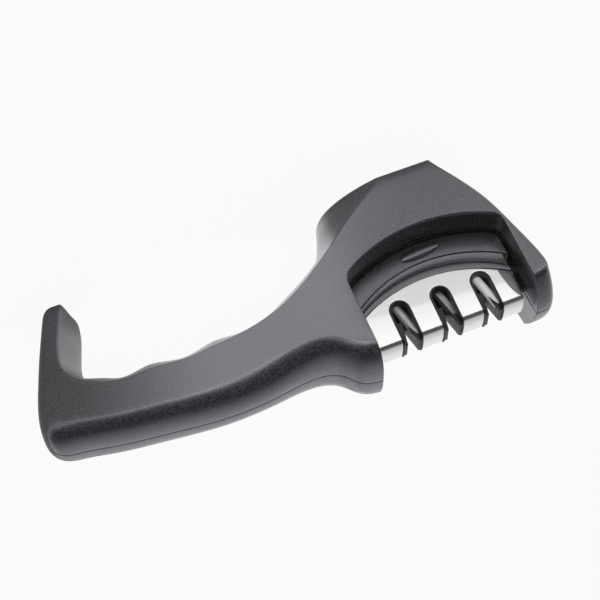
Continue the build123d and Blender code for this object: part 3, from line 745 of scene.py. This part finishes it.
slots, tooth_gap, core_low_x, core_high_x = [-17.9, 0.0, 17.9], 4.42, -31.35, 32.5
teeth = zip([core_low_x] + [c + tooth_gap for c in slots], [c - tooth_gap for c in slots] + [core_high_x])
tooth_inset, tooth_low_z = 0.85, 48.0
tooth_parts = [section_block(a, b, tooth_inset, tooth_low_z) for a, b in teeth]
corner_edge = spline([(-26.45, 50.6), (-27.4, 56.9), (-29.0, 61.9), (-31.3, 65.5)], 40)
corner_s = along_cover(corner_edge[:, 0], corner_edge[:, 1])
panel_half, core_half = 9.5, 1.5


def oval_nub(cx, cz, length, width, rise, tilt):
    """Raised oval on the panel's face, its edge just under the face."""
    sunk, columns = 0.05, 64
    a = np.linspace(0, 2 * math.pi, columns, endpoint=False)
    rows = []
    for q in np.sin(np.linspace(math.pi / 2, 0, 14)):
        u, v = length / 2 * q * np.cos(a), width / 2 * q * np.sin(a)
        y = -panel_half - (rise * math.sqrt(1 - q * q) - sunk)
        rows.append(np.column_stack([cx + u * math.cos(tilt) - v * math.sin(tilt), np.full(columns, y),
                                     cz + u * math.sin(tilt) + v * math.cos(tilt)]))
    return np.concatenate(rows), [f[::-1] for f in quads(len(rows), columns)]


def band_and_strip():
    """Glossy hollow band, a fine groove and the strip along the steel, as one grid.

    The section gives a place between two lines, up to 1 from the panel to the groove and up to
    2 from there to the steel, and the distance from the middle plane.
    """
    columns, band_half, hollow = 120, 8.8, 0.28
    x = np.linspace(strip_high_x, core_low_x, columns)
    lines = [arch(x, *a) for a in (line_1, line_2, steel_edge)]
    section = [(-0.3, band_half)]
    section += [(v, band_half - hollow * math.sin(math.pi * v)) for v in np.linspace(0, 0.93, 16)]
    section += [(0.96, 8.7), (0.975, 8.3), (1.02, 8.3), (1.035, 8.65), (1.07, 8.74), (1.6, 8.75),
                (1.97, 8.72), (2.02, 8.55), (2.05, 7.9)]
    rows = []
    for v, y in section:
        low, high = (lines[0], lines[1]) if v < 1 else (lines[1], lines[2])
        rows.append(np.column_stack([x, np.full(columns, -y), low + (high - low) * (v if v < 1 else v - 1)]))
    first, last = (r * [1, 0, 1] + [0, -core_half, 0] for r in (rows[0], rows[-1]))
    rows = [first] + rows + [last]
    return [(np.concatenate(rows), [f[::-1] for f in quads(len(rows), columns, closed=False)])]


core_spacing, sheet_spacing = 2.5, 0.7
panel_wells = [(x, z, well_radius, core_seat) for x, z in core_screw_places]
body_parts = plate(panel_core, even(1.6), rim=0.05, spacing=core_spacing)
body_parts += plate(strip_outline, even(8.0), rim=0.2, base=core_half, spacing=core_spacing)
body_parts += band_and_strip()
body_parts.append(oval_nub(-0.6, 31.8, length=18.8, width=5.8, rise=1.5, tilt=math.radians(5)))

# The moulded corner beside the steel's cut-away edge follows the steel's section.
beside = corner_edge[:, 0] - 0.05
corner_top = np.array([[core_low_x, corner_s[0]], [beside[0], corner_s[0]]])
corner_back = np.array([[core_low_x, corner_s[-1]], [core_low_x, corner_s[0]]])
corner_loop = ring([corner_top, np.column_stack([beside, corner_s]), corner_back],
                   [8, 30, 30], [0.1, 0.02, 0.1])
body_parts += sheet_parts([corner_loop], thickness=0.9, rim=0.15, spacing=sheet_spacing)
panel = dict(outline=panel_outline, height=even(panel_half), rim=0.55, base=core_half,
             spacing=core_spacing)
front_body = piece("cartridge_front_half", body_parts + plate(**panel) + tooth_parts, "cartridge")
rear_body = piece("cartridge_rear_half", rear(body_parts + plate(**panel, wells=panel_wells)),
                  "cartridge")
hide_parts("cartridge_front")
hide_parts("cartridge_rear")

body_plastic = dark_plastic("cartridge_plastic", (0.023, 0.0227, 0.0255), rough=0.30, grain=1250.0,
                            depth=0.000014)
for obj in (front_body, rear_body):
    obj.data.materials.append(body_plastic)

# ---------------------------------------------------------------------------------------------
# Steel cover: one sheet of polished stainless steel, bent over the cartridge, with three slots
# cut through the bend and its ends clamped by the moulded halves.


def stadium(cx, radius, low_z):
    """Clockwise loop of a slot on the developed sheet."""
    reach = along_cover(cx, low_z + radius)[0]
    a = np.linspace(0, math.pi, 24)
    upper = np.column_stack([cx - radius * np.cos(a), reach + radius * np.sin(a)])
    lower = np.column_stack([cx + radius * np.cos(a), -reach - radius * np.sin(a)])
    straight = np.linspace(reach, -reach, 60)[1:-1]
    high_x, low_x = (np.full(len(straight), cx + side * radius) for side in (1, -1))
    return np.concatenate([upper, np.column_stack([high_x, straight]), lower,
                           np.column_stack([low_x, straight[::-1]])])


edge_x = np.linspace(corner_edge[0, 0], 33.2, 80)
front_edge = np.column_stack([edge_x, along_cover(edge_x, arch(edge_x, *steel_edge))])
cut_away = np.column_stack([corner_edge[:, 0], corner_s])
cover_loop = ring(
    [front_edge, np.array([front_edge[-1], front_edge[-1] * [1, -1]]), front_edge[::-1] * [1, -1],
     cut_away * [1, -1], np.array([cut_away[-1] * [1, -1], cut_away[-1]]), cut_away[::-1]],
    [80, 60, 80, 30, 30, 30], [0.3, 0.3, 0.5, 0.8, 0.8, 0.5])
slot_radius, slot_low_z = 4.4, 48.6
cover_parts = sheet_parts([cover_loop] + [stadium(c, slot_radius, slot_low_z) for c in slots],
                          thickness=0.8, rim=0.16, spacing=sheet_spacing)
cover = piece("steel_cover_sheet", cover_parts, "cartridge")
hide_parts("steel_cover")

steel, net, shader = material("polished_steel", Metallic=1.0)
grain = net.noise(1.0, 3.0, 0.6, net.stretched((60, 4000, 4000)))
net.set(shader, Base_Color=net.mixed(grain, (0.68, 0.675, 0.66), (0.76, 0.755, 0.745)),
        Roughness=0.19 + grain * 0.12)
cover.data.materials.append(steel)

# ---------------------------------------------------------------------------------------------
# Slot liners: dark moulded channels with a raised rim, and two leaning guides in each that
# cross to form the V for the knife. They snap in from the mouth.

slot_centre_z, mouth_z = 53.0, 66.7


def liner_parts(cx):
    """Raised rim along the slot's edge and the channel through the cartridge behind it."""
    radius, wall, proud, soft, sunk, gap = 4.36, 0.85, 0.45, 0.3, 0.6, 0.04
    outline = stadium(cx, radius, slot_low_z + gap)
    n, bend = inwards(outline), np.linspace(0, math.pi / 2, 5)
    section = [(0.0, -sunk), (0.0, proud - soft)]
    section += [(soft * (1 - math.cos(a)), proud - soft * (1 - math.sin(a))) for a in bend]
    section += [(wall - soft * (1 - math.sin(a)), proud - soft * (1 - math.cos(a))) for a in bend]
    section += [(wall, -sunk)]
    rows = [on_cover(*(outline + n * e).T, np.full(len(outline), h)) for e, h in section]
    parts = [(np.concatenate(rows), quads(len(rows), len(outline)))]
    r, straight = radius - wall + 0.02, np.linspace(mouth_z, slot_centre_z + 0.2, 30)
    path = [(cx - r, z) for z in straight]
    path += [(cx - r * math.cos(q), slot_centre_z - r * math.sin(q)) for q in np.linspace(0, math.pi, 25)]
    path = np.array(path + [(cx + r, z) for z in straight[::-1]])
    under, top = np.array([-0.2]), 66.2
    reach = np.array([abs(on_cover(np.array([x]), along_cover(x, min(z, top)), under)[0, 1])
                      for x, z in path])
    rows = [np.column_stack([path[:, 0], reach * t, path[:, 1]]) for t in np.linspace(-1, 1, 13)]
    parts.append((np.concatenate(rows), quads(len(rows), len(path), closed=False)))
    return parts


def guide_outline(cx, low_z):
    """Clockwise outline of the guide on the -X side of a slot, above low_z."""
    slope, meet_z, r, top_z = 2.4 / 12.1, 54.5, 3.6, 66.75
    face = lambda z: cx - slope * (z - meet_z)
    top = np.array([(cx - r, top_z), (face(top_z), top_z)])
    if low_z < slot_centre_z:
        a = np.linspace(math.radians(-72), -math.pi, 30)
        arc = np.column_stack([cx + r * np.cos(a), slot_centre_z + r * np.sin(a)])
    else:
        arc = np.array([(face(low_z), low_z), (cx - r, low_z)])
    down = np.array([top[-1], (face(arc[0, 1]), arc[0, 1])])
    arc[0] = down[-1]
    return ring([top, down, arc, np.array([arc[-1], top[0]])],
                [4, 20, 20 if low_z < slot_centre_z else 5, 20], [0.35, 0.3, 0.2, 0.35])


def turned(parts, cx):
    """The same parts turned half a turn about the slot's upright axis."""
    return [(np.column_stack([2 * cx - v[:, 0], -v[:, 1], v[:, 2]]), f) for v, f in parts]


liner_plastic = dark_plastic("liner_plastic", (0.012, 0.012, 0.013), rough=0.42, grain=2800.0,
                             depth=0.00001, ior=1.35)
guide = dict(height=even(4.1), rim=0.35, spacing=1.5)
for cx, node in zip(slots, ("liner_ceramic", "liner_carbide", "liner_coarse")):
    guides = plate(guide_outline(cx, 49.0), **guide)
    guides += rear(plate(guide_outline(cx, 56.0), **guide))
    liner = piece(node + "_channel", liner_parts(cx) + guides + turned(guides, cx), "cartridge")
    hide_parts(node)
    liner.data.materials.append(liner_plastic)

# ---------------------------------------------------------------------------------------------
# Abrasives: rods with diamond grit in the first slot, bevelled carbide blades in the second and
# white ceramic rods in the third, each held in a seat between the liner and the moulded body.

grit, net, shader = material("diamond_grit", Metallic=0.6)
cells = net.noise(4200.0, 2.0, 0.7)
net.set(shader, Base_Color=net.mixed(cells.between(0.35, 0.65), (0.30, 0.295, 0.28), (0.75, 0.74, 0.71)),
        Roughness=0.35 + cells * 0.3, Normal=net.relief(cells, 0.00006))

carbide, net, shader = material("ground_carbide", Metallic=0.9)
lines = net.noise(1.0, 2.0, 0.5, net.stretched((5000, 5000, 120)))
net.set(shader, Base_Color=net.mixed(lines, (0.20, 0.19, 0.18), (0.40, 0.385, 0.365)),
        Roughness=0.22 + lines * 0.22)

ceramic, net, shader = material("white_ceramic", Specular_IOR_Level=0.5)
tone = net.noise(900.0, 2.0, 0.5)
net.set(shader, Base_Color=net.mixed(tone, (0.90, 0.89, 0.88), (0.96, 0.955, 0.95)),
        Roughness=0.38 + tone * 0.15, Normal=net.relief(tone, 0.00001))

for finish, nodes in ((grit, ("coarse_rod_front", "coarse_rod_rear")),
                      (carbide, ("carbide_blade_front", "carbide_blade_rear")),
                      (ceramic, ("ceramic_rod_front", "ceramic_rod_rear"))):
    for obj in bpy.data.objects:
        if obj.type == "MESH" and obj.name.startswith(nodes):
            obj.data.materials.clear()
            obj.data.materials.append(finish)

# ---------------------------------------------------------------------------------------------
# Stage: a plain white floor that keeps the shadow, a soft studio sky that is bright behind the
# object and along the horizon and darker elsewhere, two soft lamps and the camera. What mirrors
# the floor sees a painted reflection: for mirrored rays it glows, lighter or darker by place.

bpy.ops.mesh.primitive_plane_add(size=8.0, location=(0, 0, -0.0001))
floor = bpy.context.object
floor.name = "floor"
paper, net, shader = material("white_floor", Base_Color=(0.90, 0.90, 0.90, 1), Roughness=0.9,
                              Specular_IOR_Level=0.0)
ray = net.node("ShaderNodeLightPath")
mirrored = net.out(ray, "Is Glossy Ray")
seen = net.math("MAXIMUM", net.out(ray, "Is Camera Ray"), mirrored)
seen = net.math("MAXIMUM", seen, net.out(ray, "Is Transmission Ray"))
spot = net.node("ShaderNodeSeparateXYZ", None, Vector=net.place())
along, across = net.out(spot, "X"), net.out(spot, "Y")

# Its painted reflection glows brighter from well in front and lighter or darker along X; just
# under the handle's front the glow is taken away, so that mirrors show the real shaded floor.
far = across.between(-0.28, -0.60)
under = across.between(-0.038, -0.028) * across.between(-0.006, -0.016)
under = under * along.between(-0.05, -0.03) * along.between(0.18, 0.15)
# Painted highlight: a band along X where the floor's glow in reflections is brighter.
painted_highlight_band = along.between(-0.02, 0.06) * along.between(0.14, 0.07)
# Painted reflection level, which also darkens towards the hook end.
near = 0.86 + 0.75 * painted_highlight_band - 0.55 * along.between(0.08, 0.16)
level = near * (1.0 + 1.8 * far)
# The floor glows with this painted reflection for mirrored rays only, though it is no lamp.
painted_glow = net.node("ShaderNodeVectorMath", {"operation": "SCALE"}, Vector=(1.0, 1.0, 1.0), Scale=level)
bright = net.out(net.node("ShaderNodeEmission", None, Strength=1.0,
                          Color=net.mixed(mirrored, (1.0, 1.0, 1.0), net.out(painted_glow))))
mix = net.node("ShaderNodeMixShader", None, i0=seen * (0.93 - 0.8 * under * mirrored),
               i1=net.out(shader), i2=bright)
net.set(paper.node_tree.nodes["Material Output"], Surface=net.out(mix))
paper.cycles.emission_sampling = "NONE"
floor.data.materials.append(paper)

world = bpy.data.worlds.new("studio")
bpy.context.scene.world = world
world.use_nodes = True
sky = Net(world.node_tree)
direction = sky.out(sky.node("ShaderNodeTexCoord"), "Generated")
view = sky.node("ShaderNodeSeparateXYZ", None, Vector=direction)
behind = sky.out(view, "Y").between(-0.45, 0.95)
to_side = sky.out(view, "X").between(0.3, 0.95)
horizon = sky.out(view, "Z").between(0.13, 0.0)
sky_light = sky.mixed(behind * (1 - 0.6 * to_side), (0.085, 0.085, 0.095), (0.80, 0.81, 0.83))
sky_light = sky.mixed(horizon, sky_light, (1.8, 1.8, 1.8))
direct = sky.out(sky.node("ShaderNodeLightPath"), "Is Camera Ray")
sky.set(world.node_tree.nodes["Background"], Color=sky.mixed(direct, sky_light, (1.0, 1.0, 1.0)),
        Strength=1.0)


def lamp(name, place, size, power, shows):
    """Soft rectangular lamp aimed at the middle of the object; shows is for its reflection."""
    data = bpy.data.lights.new(name, "AREA")
    data.shape = "RECTANGLE"
    data.size, data.size_y = size
    data.energy = power
    obj = added(name, data)
    obj.visible_glossy = shows
    obj.location = place
    aim = Vector((0.06, 0, 0.03)) - Vector(place)
    obj.rotation_euler = aim.to_track_quat("-Z", "Y").to_euler()


lamp("back_softbox", (-0.3, 2.3, 1.0), (2.4, 1.0), power=2.0, shows=True)
lamp("front_fill", (0.1, -1.4, 0.9), (1.6, 1.2), power=13.0, shows=False)

# The camera stands in front and above, rolled by nearly half a turn, so that the hook is at the
# left and the mouth of the slots looks down. Its right and up are made square to its axis.
camera_data = bpy.data.cameras.new("camera")
camera_data.lens, camera_data.sensor_width = 90, 36
camera = added("camera", camera_data)
away = Vector((0.1912, -0.8529, 0.4858)).normalized()
right = Vector((-0.9231, 0.012, 0.3844))
right = (right - away * right.dot(away)).normalized()
up = away.cross(right)
eye = (0.1681, -0.5222, 0.3258)
camera.matrix_world = Matrix([(r, u, a, e) for r, u, a, e in zip(right, up, away, eye)] + [(0, 0, 0, 1)])
bpy.context.scene.camera = camera
bpy.context.scene.view_settings.view_transform = "Standard"
